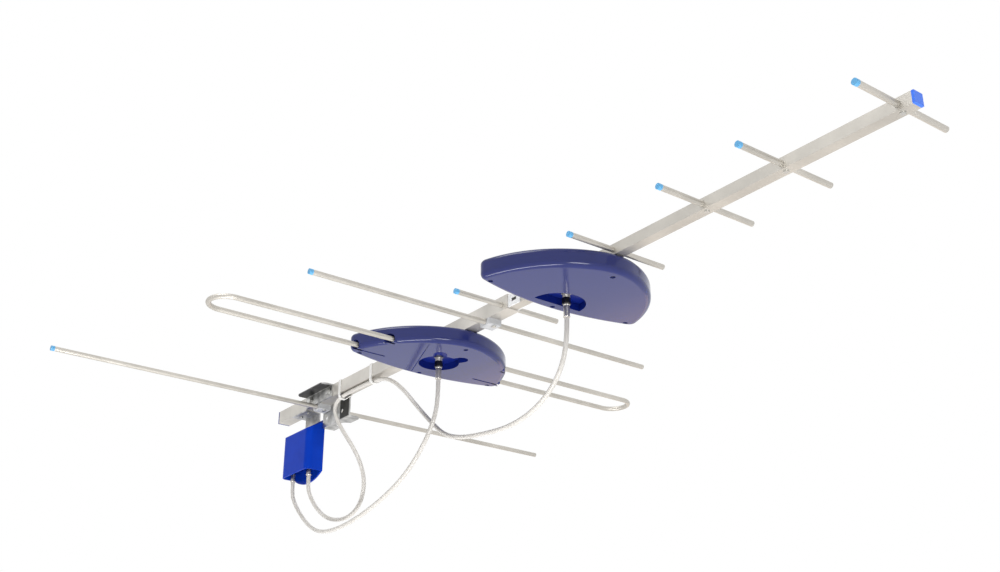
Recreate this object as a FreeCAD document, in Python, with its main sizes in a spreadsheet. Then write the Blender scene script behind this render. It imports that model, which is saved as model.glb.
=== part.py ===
# Terrestrial TV antenna: a two-piece square boom with rod elements, two dipole casings,
# a mast clamp, a combiner box and the two coaxial leads that join them.
# Frame: origin on the mast axis at the height of the rear boom's axis, +X to the front, +Z up.
import FreeCAD, Part
import math
import os
import re
from FreeCAD import Rotation, Vector

SIZES = {
    # Mast clamp
    "mast_radius": 17, "mast_to_boom": 35, "backing_half": 40, "backing_shift": -12, "mast_half": 46,
    "channel_sheet": 2, "mast_lip": 19, "backing_lip": 18, "mast_drop": 32, "corner_clip": 24,
    "lip_round": 8, "u_bolt_spacing": 47, "u_bolt_hole": 3.3, "u_bolt_drop": 28,
    "clamp_bolt_reach": 28, "clamp_bolt_shift": -10, "clamp_bolt_radius": 3, "bolt_head": 5.5,
    "bolt_head_height": 4, "nut_height": 5, "bolt_spare": 3,
    # Booms
    "boom_size": 20, "boom_wall": 1.5, "boom_behind": 144, "boom_length": 612,
    "nose_size": 14, "nose_wall": 1.2, "nose_overlap": 36, "nose_length": 655,
    "insert_depth": 36, "insert_collar": 24, "insert_slot": 10, "insert_slot_height": 5,
    "plug_depth": 10, "plug_rim": 3,
    # Rod elements
    "rod_radius": 3.45, "rod_wall": 0.9, "cap_wall": 0.2, "cap_length": 5, "cap_end": 0.8,
    "reflector_station": -21.5, "reflector_length": 860, "director_inset": 48, "director_length": 546,
    "back_rod_inset": 12, "back_rod_length": 167,
    "rod_a_inset": 419, "rod_a_length": 150, "rod_b_inset": 273, "rod_b_length": 147,
    "rod_c_inset": 160, "rod_c_length": 144, "rod_d_inset": 16, "rod_d_length": 141,
    "saddle_reach": 10, "saddle_depth": 9, "saddle_screw": 6.4, "saddle_round": 2,
    "rivet_radius": 1.5, "rivet_head": 3, "rivet_height": 1.2,
    # Folded dipole
    "loop_reach": 348, "loop_inner": 48, "loop_offset": 35, "loop_spacing": 47, "loop_screw": 8,
    "loop_stand": 2.6, "leg_groove": 45, "leg_groove_width": 3, "scoop_room": 3, "scoop_depth": 9,
    "scoop_wall": 1.6, "rear_leg_wall": 119, "front_leg_wall": 97,
    # Dipole casings
    "front_case_gap": 130, "rear_case_inset": 225, "case_height": 24, "case_lid": 8, "lid_sheet": 3,
    "case_wall": 2.2, "side_arc": 145.6, "side_arc_x": -6, "side_arc_y": 18, "rear_arc": 374,
    "nose_round": 80, "tip_round": 11, "edge_round": 7, "lid_round": 6, "case_screw_rear": 9,
    "case_screw_front": 121, "case_screw_x": 24.5, "case_screw_y": 108, "post_radius": 5,
    "screw_radius": 1.6, "screw_head": 3.1, "screw_head_height": 2, "screw_sink": 4, "rib_length": 60,
    "rib_height": 9, "rib_wall": 4, "boom_screw_near": 30, "boom_screw_far": 95,
    # Connector recesses, boards and inner dipole
    "recess_depth": 10, "half_recess_start": 18, "half_recess_radius": 36, "front_socket": 36,
    "round_recess_radius": 28, "rear_socket": 57, "fork_reach": 34, "fork_half": 9.5, "fork_angle": 31,
    "groove_width": 1.2, "groove_depth": 0.8, "groove_angle": -21, "groove_length": 116,
    "board_sheet": 1.6, "board_length": 44, "board_width": 74, "loop_board_length": 66,
    "loop_board_width": 150, "strip_width": 6, "strip_sheet": 1.5, "strip_length": 36,
    "strip_span": 184, "strip_gap": 12,
    # Coaxial sockets, plugs and leads
    "socket_flange": 6.5, "socket_collar": 2, "socket_radius": 4.7, "socket_bore": 2.4,
    "socket_length": 14, "plug_nut": 5.6, "plug_nut_length": 8, "sleeve_radius": 3.9,
    "sleeve_length": 18, "plug_overlap": 6.5, "lead_radius": 3.05,
    # Straps
    "tie_width": 4.8, "tie_sheet": 1.2, "front_tie_drop": 7.6, "rear_tie_drop": 8.5,
    "tie_near_foot": 2.5, "tie_far_foot": 9, "tie_near_drop": 4, "front_tie": 138, "rear_tie": 49,
    "tie_head": 6,
    # Combiner box
    "box_station": -76.5, "box_length": 83, "box_depth": 26, "box_top": 43.5, "box_rise": 12.5,
    "box_bottom": 109.5, "box_wall": 2, "box_floor": 80.5, "box_round": 10, "box_back_sheet": 2.5,
    "box_back_top": 27, "box_tongue": 12, "box_near": 14, "box_socket_reach": 25, "bracket_half": 22,
    "bracket_sheet": 2, "bracket_drop": 75, "bracket_screw_reach": 12, "box_screw_top": 48,
    "box_screw_gap": 18, "box_board_height": 34, "box_board_inset": 6, "screw_tip": 3,
    # Clearances
    "slip": 0.05, "ease": 0.15,
}
# Places that follow from the sizes above
PLACES = {
    "mouth": "boom_length - boom_behind",
    "nose_start": "mouth - nose_overlap",
    "nose_end": "nose_start + nose_length",
    "director_station": "mouth - director_inset",
    "back_rod_station": "mouth - back_rod_inset",
    "rod_a_station": "nose_end - rod_a_inset",
    "rod_b_station": "nose_end - rod_b_inset",
    "rod_c_station": "nose_end - rod_c_inset",
    "rod_d_station": "nose_end - rod_d_inset",
    "front_case_station": "rod_a_station - front_case_gap",
    "rear_case_station": "mouth - rear_case_inset",
    "loop_station": "rear_case_station + loop_offset",
    "loop_drop": "boom_size / 2 + case_height - recess_depth - case_wall + loop_stand + rod_radius",
}

doc = FreeCAD.newDocument("antenna")
sheet = doc.addObject("Spreadsheet::Sheet", "Sizes")
cells = {alias: str(value) for alias, value in SIZES.items()}
cells.update({alias: f"={text}" for alias, text in PLACES.items()})
for row, (alias, text) in enumerate(cells.items(), 1):
    sheet.set(f"A{row}", alias)
    sheet.set(f"B{row}", text)
    sheet.setAlias(f"B{row}", alias)
doc.recompute()

NODES = []
ALONG = {"X": Rotation(Vector(0, 1, 0), 90), "Y": Rotation(Vector(1, 0, 0), -90), "Z": Rotation()}
BOOM_Y = "-mast_to_boom"
NOSE_Z = "(nose_size / 2 + boom_wall - boom_size / 2)"
ROD_Z = "(-boom_size / 2 - rod_radius - slip)"


def size(alias):
    return float(getattr(sheet, alias))


def formula(text):
    """Point every alias in a formula at its cell."""
    def cell(word):
        return f"Sizes.{word[0]}" if word[0] in cells else word[0]
    return re.sub(r"[a-z][a-z_]+", cell, text)


def bind(thing, sizes):
    for path, text in sizes.items():
        thing.setExpression(path, formula(text))


def place(thing, x, y, z, along="Z"):
    thing.Placement.Rotation = ALONG[along]
    bind(thing, {"Placement.Base.x": x, "Placement.Base.y": y, "Placement.Base.z": z})
    return thing


def box(x, y, z, length, width, height):
    """A box centred on x and y that rises from z."""
    thing = doc.addObject("Part::Box", "Block")
    bind(thing, {"Length": length, "Width": width, "Height": height})
    return place(thing, f"{x} - ({length}) / 2", f"{y} - ({width}) / 2", z)


def cylinder(x, y, z, radius, height, along="Z"):
    thing = doc.addObject("Part::Cylinder", "Round")
    bind(thing, {"Radius": radius, "Height": height})
    return place(thing, x, y, z, along)


def hexagon(x, y, z, radius, height, along="Z"):
    thing = doc.addObject("Part::Prism", "Hexagon")
    thing.Polygon = 6
    bind(thing, {"Circumradius": radius, "Height": height})
    return place(thing, x, y, z, along)


def fuse(*things):
    joined = doc.addObject("Part::MultiFuse", "Joined")
    joined.Shapes = list(things)
    return joined


def common(*things):
    shared = doc.addObject("Part::MultiCommon", "Shared")
    shared.Shapes = list(things)
    return shared


def cut(base, *tools):
    result = doc.addObject("Part::Cut", "Opened")
    result.Base = base
    result.Tool = tools[0] if len(tools) == 1 else group(*tools)
    return result


def group(*things):
    bundle = doc.addObject("Part::Compound", "Bundle")
    bundle.Links = list(things)
    return bundle


def rounded(base, radius, wanted):
    """Fillet the edges of a base that the test picks."""
    doc.recompute()
    result = doc.addObject("Part::Fillet", "Rounded")
    result.Base = base
    edges = [n for n, edge in enumerate(base.Shape.Edges, 1) if wanted(edge)]
    result.Edges = [(n, radius, radius) for n in edges]
    return result


def node(name, thing):
    thing.Label = name
    NODES.append(thing)
    return thing


def upright(edge):
    low, high = edge.Vertexes[0].Point, edge.Vertexes[-1].Point
    return math.hypot(low.x - high.x, low.y - high.y) < 0.01 and abs(low.z - high.z) > 1


def rod_hole(station, z, length, y=BOOM_Y):
    """The clearance hole for a rod that crosses at a station, along Y."""
    return cylinder(station, f"{y} - ({length}) / 2", z, "rod_radius + ease", length, "Y")


def square_tube(start, z, outer, wall, length):
    middle = f"{start} + ({length}) / 2"
    hollow = f"{outer} - 2 * {wall}"
    solid = box(middle, BOOM_Y, f"{z} - ({outer}) / 2", length, outer, outer)
    bore = box(middle, BOOM_Y, f"{z} - ({hollow}) / 2", f"{length} + 2", hollow, hollow)
    return solid, bore


# Booms

def rear_boom():
    solid, bore = square_tube("-boom_behind", "0", "boom_size", "boom_wall", "boom_length")
    holes = [rod_hole("back_rod_station", NOSE_Z, "2 * boom_size")]
    for side in (-1, 1):
        holes.append(cylinder(f"clamp_bolt_shift + {side} * clamp_bolt_reach", f"{BOOM_Y} - boom_size", "0",
                              "clamp_bolt_radius + ease", "2 * boom_size", "Y"))
        holes.append(cylinder(f"box_station + {side} * bracket_screw_reach", BOOM_Y, "-boom_size",
                              "screw_radius + slip", "boom_size"))
    for station in ("reflector_station", "director_station"):
        holes.append(cylinder(f"{station} + saddle_screw", BOOM_Y, "-boom_size", "screw_radius + slip",
                              "boom_size"))
    holes += boom_screw_holes("rear_case_station", "-boom_size / 2", "boom_wall")
    node("rear_boom", cut(solid, bore, *holes))


def boom_screw_holes(station, bottom, wall):
    return [cylinder(f"{station} + {reach}", BOOM_Y, f"{bottom} - 1", "screw_radius + slip", f"{wall} + 2")
            for reach in ("boom_screw_near", "boom_screw_far")]


ROD_NAMES = ("rod_a", "rod_b", "rod_c", "rod_d")
NOSE_BOTTOM = f"({NOSE_Z} - nose_size / 2)"
BOOM_BOTTOM = "(-boom_size / 2)"


def front_boom():
    solid, bore = square_tube("nose_start", NOSE_Z, "nose_size", "nose_wall", "nose_length")
    holes = [rod_hole(f"{name}_station", NOSE_Z, "2 * nose_size") for name in ROD_NAMES + ("back_rod",)]
    for name in ROD_NAMES:
        holes.append(cylinder(f"{name}_station", BOOM_Y, f"{NOSE_BOTTOM} - 1", "rivet_radius + slip",
                              "nose_wall + 2"))
    holes += boom_screw_holes("front_case_station", NOSE_BOTTOM, "nose_wall")
    node("front_boom", cut(solid, bore, *holes))


def boom_insert():
    """A moulded liner that packs the narrow boom inside the mouth of the wide one."""
    outer = "(boom_size - 2 * boom_wall - 2 * slip)"
    length = "(insert_depth + insert_collar)"
    middle = "mouth + (insert_collar - insert_depth) / 2"
    block = box(middle, BOOM_Y, f"-{outer} / 2", length, outer, outer)
    trough = "(nose_size + 2 * slip)"
    slot = box(middle, BOOM_Y, f"{NOSE_Z} + nose_size / 2 + slip - 2 * nose_size", f"{length} + 2",
               trough, "2 * nose_size")
    window = box("mouth + insert_collar / 2", f"{BOOM_Y} - boom_size / 2", "-insert_slot_height / 2",
                 "insert_slot", "boom_size", "insert_slot_height")
    node("boom_insert", cut(block, slot, window, rod_hole("back_rod_station", NOSE_Z, "2 * boom_size")))


def boom_cap(name, end, way, z, outer, wall):
    """A push-in plug: a rim as wide as the tube and a stem inside it."""
    stem = f"({outer} - 2 * {wall} - 2 * slip)"
    rim = box(f"{end} + {way} * plug_rim / 2", BOOM_Y, f"{z} - {outer} / 2", "plug_rim", outer, outer)
    body = box(f"{end} - {way} * plug_depth / 2", BOOM_Y, f"{z} - {stem} / 2", "plug_depth", stem, stem)
    node(name, fuse(rim, body))


# Rod elements

def rod(name, station, length, z, *drilled):
    tip = f"{BOOM_Y} - {length} / 2"
    outer = cylinder(station, tip, z, "rod_radius", length, "Y")
    inner = cylinder(station, f"{tip} - 1", z, "rod_radius - rod_wall", f"{length} + 2", "Y")
    node(name, cut(outer, inner, *drilled))


def rod_elements():
    for name, letter in zip(ROD_NAMES, ("first", "second", "third", "fourth")):
        rod(f"uhf_director_{letter}", f"{name}_station", f"{name}_length", NOSE_Z)
    rod("uhf_reflector", "back_rod_station", "back_rod_length", NOSE_Z)
    rod("vhf_director", "director_station", "director_length", ROD_Z)
    rod("vhf_reflector", "reflector_station", "reflector_length", ROD_Z)


def rod_end_caps():
    caps = []
    ends = [(name, NOSE_Z) for name in ROD_NAMES + ("back_rod",)]
    ends += [("director", ROD_Z), ("reflector", ROD_Z)]
    for name, z in ends:
        station = f"{name}_station"
        tip = f"{BOOM_Y} - {name}_length / 2"
        shell = cylinder(station, f"{tip} - cap_end", z, "rod_radius + cap_wall", "cap_length", "Y")
        room = cylinder(station, tip, z, "rod_radius + slip", "cap_length", "Y")
        caps.append(cut(shell, room))
    node("rod_end_caps", group(*caps))


def director_rivets():
    rivets = []
    for name in ROD_NAMES:
        head = cylinder(f"{name}_station", BOOM_Y, f"{NOSE_BOTTOM} - rivet_height", "rivet_head",
                        "rivet_height")
        shank = cylinder(f"{name}_station", BOOM_Y, f"{NOSE_BOTTOM} - 0.5", "rivet_radius",
                         "nose_size / 2 - rod_radius + 0.5 - slip")
        rivets.append(fuse(head, shank))
    node("director_rivets", group(*rivets))


def rod_saddle(name, station):
    """A moulded cradle under the boom that holds a long rod up to it, with one screw beside it."""
    top = "(-boom_size / 2)"
    width = "(boom_size - 2 * ease)"
    block = box(station, BOOM_Y, f"{top} - saddle_depth", "2 * saddle_reach", width, "saddle_depth")
    bore = cylinder(station, f"{BOOM_Y} - boom_size", ROD_Z, "rod_radius + slip", "2 * boom_size", "Y")
    mouth = box(station, BOOM_Y, ROD_Z, "2 * (rod_radius + slip)", "2 * boom_size", "2 * rod_radius")
    screw = cylinder(f"{station} + saddle_screw", BOOM_Y, "-2 * boom_size", "screw_radius + slip",
                     "2 * boom_size")
    soft = rounded(block, size("saddle_round"), level_at(-size("boom_size") / 2 - size("saddle_depth")))
    node(name, cut(soft, fuse(bore, mouth), screw))


def pan_screw(x, y, z, reach, along="Z", way=1):
    """A screw whose head ends at z and whose shank runs on along the axis by the reach."""
    offset = {"X": (1, 0, 0), "Y": (0, 1, 0), "Z": (0, 0, 1)}[along]
    start = [f"{base} - {step} * screw_head_height" if way > 0 else base
             for base, step in zip((x, y, z), offset)]
    shank = [f"{base} - {step} * 1" if way > 0 else f"{base} - {step} * ({reach})"
             for base, step in zip((x, y, z), offset)]
    return fuse(cylinder(*start, "screw_head", "screw_head_height", along),
                cylinder(*shank, "screw_radius", f"{reach} + 1", along))


def saddle_screws():
    bottom = "-boom_size / 2 - saddle_depth"
    reach = "saddle_depth + boom_wall + screw_tip"
    screws = [pan_screw(f"{station} + saddle_screw", BOOM_Y, bottom, reach)
              for station in ("reflector_station", "director_station")]
    node("saddle_screws", group(*screws))


# Folded dipole

def dipole_loop():
    """Half of the folded dipole: two straight legs joined by a half-round bend."""
    bend = "(loop_spacing / 2)"
    straight = f"(loop_reach - rod_radius - {bend} - loop_inner)"
    bend_y = f"{BOOM_Y} - loop_inner - {straight}"
    stations = ("loop_station", "loop_station + loop_spacing")

    def hairpin(radius, extra):
        turn = doc.addObject("Part::Torus", "Bend")
        bind(turn, {"Radius1": bend, "Radius2": radius})
        turn.Angle3 = 180
        place(turn, f"loop_station + {bend}", bend_y, "-loop_drop")
        turn.Placement.Rotation = Rotation(Vector(0, 0, 1), 180)
        legs = [cylinder(station, bend_y, "-loop_drop", radius, f"{straight} + {extra}", "Y")
                for station in stations]
        return fuse(turn, *legs)

    drilled = [cylinder(station, f"{BOOM_Y} - loop_inner - loop_screw", "-boom_size * 2",
                        "screw_radius + slip", "2 * boom_size") for station in stations]
    loop = cut(hairpin("rod_radius", "0"), hairpin("rod_radius - rod_wall", "1"), *drilled)
    return node("dipole_left_loop", loop)


def opposite_loop(loop):
    """The other half, the mirror image across the boom."""
    mirrored = doc.addObject("Part::Mirroring", "Opposite")
    mirrored.Source = loop
    mirrored.Normal = Vector(0, 1, 0)
    bind(mirrored, {"Base.y": BOOM_Y})
    node("dipole_right_loop", mirrored)


# Dipole casings

def case_block(station, inset, bottom, height):
    """The leaf plan of a casing: two long side arcs, a rounded nose and a shallow rear arc."""
    def disc(x, y, radius):
        return cylinder(f"{station} + {x}", f"{BOOM_Y} + {y}", bottom, f"{radius} - {inset}", height)
    sides = [disc("side_arc_x", y, "side_arc") for y in ("side_arc_y", "-side_arc_y")]
    plan = common(*sides, disc("rear_arc", "0", "rear_arc"))
    depth = size_of(inset)
    nose = rounded(plan, size("nose_round") - depth, lambda edge: upright(edge) and on_axis(edge))
    return rounded(nose, max(size("tip_round") - depth, 1), lambda edge: sharp_tip(edge, station))


def on_axis(edge):
    return abs(edge.Vertexes[0].Point.y + size("mast_to_boom")) < 0.01


def sharp_tip(edge, station):
    point = edge.Vertexes[0].Point
    wide = abs(point.y + size("mast_to_boom")) > size("case_screw_y") / 2
    return upright(edge) and wide and point.x < size(station) + 40


def level_at(z):
    return lambda edge: abs(edge.BoundBox.ZMax - z) < 0.01 and abs(edge.BoundBox.ZMin - z) < 0.01


SCREW_SPOTS = (("case_screw_rear", "0"), ("case_screw_front", "0"),
               ("case_screw_x", "case_screw_y"), ("case_screw_x", "-case_screw_y"))


def screw_posts(station, bottom, height):
    """Round posts at the screw spots, kept inside the casing's walls."""
    inside = "case_wall / 2"
    return [common(cylinder(f"{station} + {x}", f"{BOOM_Y} + {y}", bottom, "post_radius", height),
                   case_block(station, inside, bottom, height)) for x, y in SCREW_SPOTS]


def case_cover(name, station, top, recess, socket, openings, cups=()):
    """The lower shell: rounded edge, screw posts, a sunk cup round the socket and cups for the legs."""
    bottom = f"({top} - case_height)"
    height = "(case_height - case_lid)"
    floor_z = size_of(bottom)
    outer = rounded(case_block(station, "0", bottom, height), size("edge_round"), level_at(floor_z))
    inside_z = floor_z + size("case_wall")
    hollow = rounded(case_block(station, "case_wall", f"{bottom} + case_wall", height),
                     size("edge_round") - size("case_wall"), level_at(inside_z))
    posts = screw_posts(station, f"{bottom} + case_wall / 2", f"{height} - case_wall / 2")
    cup = recess(station, f"{bottom} + case_wall / 2", "case_wall", "recess_depth + case_wall / 2")
    trimmed = [common(leg_cup, case_block(station, "case_wall / 2", bottom, height)) for leg_cup in cups]
    solid = fuse(cut(outer, hollow), *posts, cup, *trimmed)
    sunk = recess(station, f"{bottom} - 1", "0", "recess_depth + 1")
    drills = [cylinder(f"{station} + {socket}", BOOM_Y, bottom, "socket_radius + ease", height)]
    for x, y in SCREW_SPOTS:
        spot = (f"{station} + {x}", f"{BOOM_Y} + {y}")
        drills.append(cylinder(*spot, f"{bottom} - 1", "screw_radius + ease", "case_height + 2"))
        drills.append(cylinder(*spot, f"{bottom} - 1", "screw_head + ease", "screw_sink + 1"))
    node(name, cut(solid, sunk, *drills, *openings))


def size_of(text):
    """The value of a formula of sheet sizes."""
    words = re.sub(r"[a-z][a-z_]+", lambda word: f"{{{word[0]}}}", text)
    filled = words.format(**{alias: size(alias) for alias in cells})
    return FreeCAD.Units.Quantity(filled).Value


def half_recess(station, z, grow, height):
    start = f"{station} + half_recess_start - {grow}"
    disc = cylinder(start, BOOM_Y, z, f"half_recess_radius + {grow}", height)
    reach = f"(half_recess_radius + 2 * {grow})"
    return common(disc, box(f"{start} + {reach} / 2", BOOM_Y, z, reach, f"2 * {reach} + 2", height))


def round_recess(station, z, grow, height):
    """A round dish with two finger slots that fork to the front."""
    middle = f"{station} + rear_socket"
    shapes = [cylinder(middle, BOOM_Y, z, f"round_recess_radius + {grow}", height)]
    for side in (-1, 1):
        end_x = f"{middle} + fork_reach * cos(fork_angle)"
        end_y = f"{BOOM_Y} + {side} * fork_reach * sin(fork_angle)"
        shapes.append(cylinder(end_x, end_y, z, f"fork_half + {grow}", height))
        arm = doc.addObject("Part::Box", "Arm")
        bind(arm, {"Length": "fork_reach", "Width": f"2 * (fork_half + {grow})", "Height": height})
        turn = side * size("fork_angle")
        shift = size_of(f"fork_half + {grow}")
        sideways = Rotation(Vector(0, 0, 1), turn).multVec(Vector(0, -shift, 0))
        place(arm, f"{middle} + {sideways.x}", f"{BOOM_Y} + {sideways.y}", z)
        arm.Placement.Rotation = Rotation(Vector(0, 0, 1), turn)
        shapes.append(arm)
    return fuse(*shapes)


def case_groove():
    """A fine straight groove across the rear casing's lower face."""
    bottom = f"({BOOM_BOTTOM} - case_height)"
    line = doc.addObject("Part::Box", "Line")
    bind(line, {"Length": "groove_length", "Width": "groove_width", "Height": "groove_depth + 1"})
    place(line, "rear_case_station + 2", f"{BOOM_Y} - 11", f"{bottom} - 1")
    line.Placement.Rotation = Rotation(Vector(0, 0, 1), size("groove_angle"))
    return line


def case_base(name, station, top, boom, *reliefs):
    """The upper lid: a shallow rounded shell with screw posts and two ribs that straddle the boom."""
    seam = f"({top} - case_lid)"
    shell = rounded(case_block(station, "0", seam, "case_lid"), size("lid_round"), level_at(size_of(top)))
    hollow = case_block(station, "case_wall", f"{seam} - 1", "case_lid - lid_sheet + 1")
    posts = screw_posts(station, seam, "case_lid - lid_sheet / 2")
    middle = f"{station} + (boom_screw_near + boom_screw_far) / 2"
    ribs = [box(middle, f"{BOOM_Y} + {side} * ({boom} / 2 + ease + rib_wall / 2)", f"{top} - 1",
                "rib_length", "rib_wall", "rib_height + 1") for side in (-1, 1)]
    drills = []
    for x, y in SCREW_SPOTS:
        drills.append(cylinder(f"{station} + {x}", f"{BOOM_Y} + {y}", f"{seam} - 1",
                               "screw_radius + slip", "case_lid"))
    drills += boom_screw_holes(station, seam, "case_lid")
    node(name, cut(fuse(cut(shell, hollow), *posts, *ribs), *drills, *reliefs))


CASES = (("front_case_station", NOSE_BOTTOM, "nose_wall"), ("rear_case_station", BOOM_BOTTOM, "boom_wall"))


def case_screws():
    screws = []
    for station, top, _ in CASES:
        seat = f"{top} - case_height + screw_sink"
        reach = "case_height - screw_sink - 1.5"
        for x, y in SCREW_SPOTS:
            screws.append(pan_screw(f"{station} + {x}", f"{BOOM_Y} + {y}", seat, reach))
    node("case_screws", group(*screws))


def case_boom_screws():
    screws = []
    for station, top, wall in CASES:
        for spot in ("boom_screw_near", "boom_screw_far"):
            reach = f"lid_sheet + {wall} + screw_tip"
            screws.append(pan_screw(f"{station} + {spot}", BOOM_Y, f"{top} - lid_sheet", reach))
    node("case_boom_screws", group(*screws))


def leg_scoops(grow):
    """Round hollows in the casing's flanks where the dipole legs go in."""
    scoops = []
    for leg, wall in (("loop_station", "rear_leg_wall"), ("loop_station + loop_spacing", "front_leg_wall")):
        for side in (-1, 1):
            start = f"{wall} - scoop_depth - {grow}" if side > 0 else f"-{wall} - scoop_depth"
            scoops.append(cylinder(leg, f"{BOOM_Y} + {start}", "-loop_drop",
                                   f"rod_radius + scoop_room + {grow}", f"2 * scoop_depth + {grow}", "Y"))
    return scoops


def leg_grooves():
    """Short grooves in the lower face along the rear dipole legs."""
    return [box("loop_station", f"{BOOM_Y} + {side} * (rear_leg_wall - leg_groove / 2)",
                f"{BOOM_BOTTOM} - case_height - 1", "leg_groove_width", "leg_groove", "groove_depth + 1")
            for side in (-1, 1)]


def dipole_casings():
    relief = cylinder("rod_a_station", BOOM_Y, f"{NOSE_BOTTOM} - rivet_height - ease", "rivet_head + ease",
                      "rivet_height + 1")
    case_base("uhf_case_base", "front_case_station", NOSE_BOTTOM, "nose_size", relief)
    case_cover("uhf_case_cover", "front_case_station", NOSE_BOTTOM, half_recess, "front_socket", [])
    case_base("vhf_case_base", "rear_case_station", "(-boom_size / 2)", "boom_size")
    slots = [cylinder(f"loop_station + {step} * loop_spacing",
                      f"{BOOM_Y} + loop_inner + loop_screw" if side > 0 else f"{BOOM_Y} - loop_reach",
                      "-loop_drop", "rod_radius + ease", "loop_reach - loop_inner - loop_screw", "Y")
             for step in (0, 1) for side in (-1, 1)]
    openings = slots + leg_scoops("0") + [case_groove()] + leg_grooves()
    case_cover("vhf_case_cover", "rear_case_station", BOOM_BOTTOM, round_recess, "rear_socket",
               openings, leg_scoops("scoop_wall"))
    case_screws()
    case_boom_screws()


# Boards and the inner dipole

def board_level(top):
    return f"({top} - case_height + recess_depth + case_wall)"


def boards():
    level = board_level(NOSE_BOTTOM)
    at = "front_case_station + front_socket"
    hole = cylinder(at, BOOM_Y, f"{level} - 1", "socket_bore", "board_sheet + 2")
    node("uhf_balun_board", cut(box(at, BOOM_Y, level, "board_length", "board_width", "board_sheet"), hole))
    level = board_level("(-boom_size / 2)")
    middle = "loop_station + loop_spacing / 2"
    plate = box(middle, BOOM_Y, level, "loop_board_length", "loop_board_width", "board_sheet")
    at = "rear_case_station + rear_socket"
    holes = [cylinder(at, BOOM_Y, f"{level} - 1", "socket_bore", "board_sheet + 2")]
    for x, y in loop_screw_spots():
        holes.append(cylinder(x, y, f"{level} - 1", "screw_radius + slip", "board_sheet + 2"))
    node("vhf_balun_board", cut(plate, *holes))


def loop_screw_spots():
    return [(f"loop_station + {step} * loop_spacing", f"{BOOM_Y} + {side} * (loop_inner + loop_screw)")
            for step in (0, 1) for side in (-1, 1)]


def dipole_screws():
    level = f"({board_level('(-boom_size / 2)')} + board_sheet)"
    reach = "board_sheet + loop_stand + 2 * rod_radius"
    screws = [pan_screw(x, y, level, reach, "Z", -1) for x, y in loop_screw_spots()]
    node("dipole_screws", group(*screws))


def inner_dipole():
    """A folded strip stamped from sheet, open at the feed in its rear bar."""
    level = f"({board_level(NOSE_BOTTOM)} + board_sheet)"
    middle = "front_case_station + front_socket"
    sheet_block = box(middle, BOOM_Y, level, "strip_length", "strip_span", "strip_sheet")
    window = box(middle, BOOM_Y, f"{level} - 1", "strip_length - 2 * strip_width",
                 "strip_span - 2 * strip_width", "strip_sheet + 2")
    gap = box(f"{middle} - strip_length / 2", BOOM_Y, f"{level} - 1", "3 * strip_width", "strip_gap",
              "strip_sheet + 2")
    node("uhf_dipole", cut(sheet_block, window, gap))


# Coaxial sockets, plugs and leads

RECESS_ROOF = "- case_height + recess_depth"
SOCKETS = (("uhf_case", "front_case_station + front_socket", f"({NOSE_BOTTOM} {RECESS_ROOF})"),
           ("vhf_case", "rear_case_station + rear_socket", f"({BOOM_BOTTOM} {RECESS_ROOF})"),
           ("uhf_box", "box_station + box_socket_reach", "(-box_floor - box_wall)"),
           ("vhf_box", "box_station - box_socket_reach", "(-box_floor - box_wall)"))


def coax_socket(name, x, seat):
    """A threaded barrel that hangs from a hexagon flange against its seat."""
    flange = hexagon(x, BOOM_Y, f"{seat} - socket_collar", "socket_flange", "socket_collar")
    barrel = cylinder(x, BOOM_Y, f"{seat} - socket_length", "socket_radius", "socket_length")
    tail = cylinder(x, BOOM_Y, seat, "socket_bore - slip", "case_wall")
    bore = cylinder(x, BOOM_Y, f"{seat} - socket_length - 1", "socket_bore", "socket_length - 2")
    node(f"{name}_socket", cut(fuse(flange, barrel, tail), bore))


def coax_plug(name, x, seat):
    """A screw-on plug: a hexagon nut round the barrel and a crimped sleeve for the lead."""
    mouth = f"({seat} - socket_length + plug_overlap)"
    nut_end = f"({mouth} - plug_nut_length)"
    nut = hexagon(x, BOOM_Y, nut_end, "plug_nut", "plug_nut_length")
    sleeve = cylinder(x, BOOM_Y, f"{nut_end} - sleeve_length", "sleeve_radius", "sleeve_length + 1")
    room = cylinder(x, BOOM_Y, f"{mouth} - plug_overlap - slip", "socket_radius + slip", "plug_nut_length")
    node(f"{name}_plug", cut(fuse(nut, sleeve), room))


def sockets_and_plugs():
    for name, x, seat in SOCKETS:
        coax_socket(name, x, seat)
        coax_plug(name, x, seat)
    coax_socket("output", "box_station", "(-box_floor - box_wall)")


def lead_end(x, seat):
    """The point at the mouth of a plug's sleeve."""
    low = f"{seat} - socket_length + plug_overlap - plug_nut_length - sleeve_length"
    return Vector(size_of(x), -size("mast_to_boom"), size_of(low))


UHF_ROUTE = (
    (574, -35, -80), (562, -33, -114), (532, -29, -139), (490, -25, -154), (440, -22, -159),
    (385, -20, -154), (336, -20, -147), (297, -20, -134), (266, -21, -109), (232, -24, -76),
    (206, -28, -47), (178, -33, -23), (152, -37.5, -14.6), (122, -39.5, -13.5), (90, -40, -13.3),
    (58, -39.8, -13.6), (35, -40, -16.5), (28, -41, -31), (39, -42, -49), (58, -42, -72),
    (86, -40, -102), (108, -38, -132), (119, -36, -162), (109, -34, -190), (84, -34, -205),
    (48, -34, -206), (10, -35, -195), (-22, -35, -173), (-42, -35, -152), (-51.5, -35, -135))
VHF_ROUTE = (
    (300, -35, -83), (297, -37, -110), (284, -41, -139), (262, -45, -166), (232, -48, -188),
    (193, -48, -202), (147, -48, -214), (96, -47, -221.5), (49, -45, -222.5), (10, -43, -217.5),
    (-25, -40, -204), (-55, -37, -185), (-78, -35.5, -166), (-93, -35, -150), (-101.5, -35, -135.5))


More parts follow.
